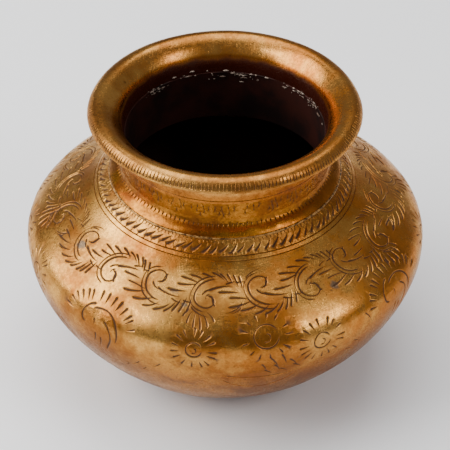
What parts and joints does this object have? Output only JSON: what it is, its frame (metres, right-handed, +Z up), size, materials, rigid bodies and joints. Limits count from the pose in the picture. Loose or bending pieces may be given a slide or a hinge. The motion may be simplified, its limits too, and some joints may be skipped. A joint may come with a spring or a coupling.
{
  "type": "engraved brass water pot",
  "caption": "Squat round-bellied brass water pot with engraved foliage, a short neck and a heavy flared lip with a milled edge.",
  "frame": {"origin": "middle of the flat base, on the surface the pot stands on", "axes": "+Z up along the pot's axis; the engraving starts its round at -Y, the front"},
  "size_m": [0.16, 0.16, 0.1193],
  "materials": {
    "belly_brass": "worn satin, dark in the engraving",
    "neck_brass": "satin with a reddish patina",
    "lip_brass": "rubbed smooth on the crest",
    "brazing_metal": "dull, pale",
    "seam_deposit": "brazing metal under pale lime deposits"
  },
  "bodies": {
    "root": {"lower_bowl": "belly_brass", "shoulder_shell": "belly_brass", "neck": "neck_brass", "lip_ring": "lip_brass", "belly_braze": "brazing_metal", "neck_foot_braze": "brazing_metal", "lip_braze": "seam_deposit"}
  },
  "joints": []
}
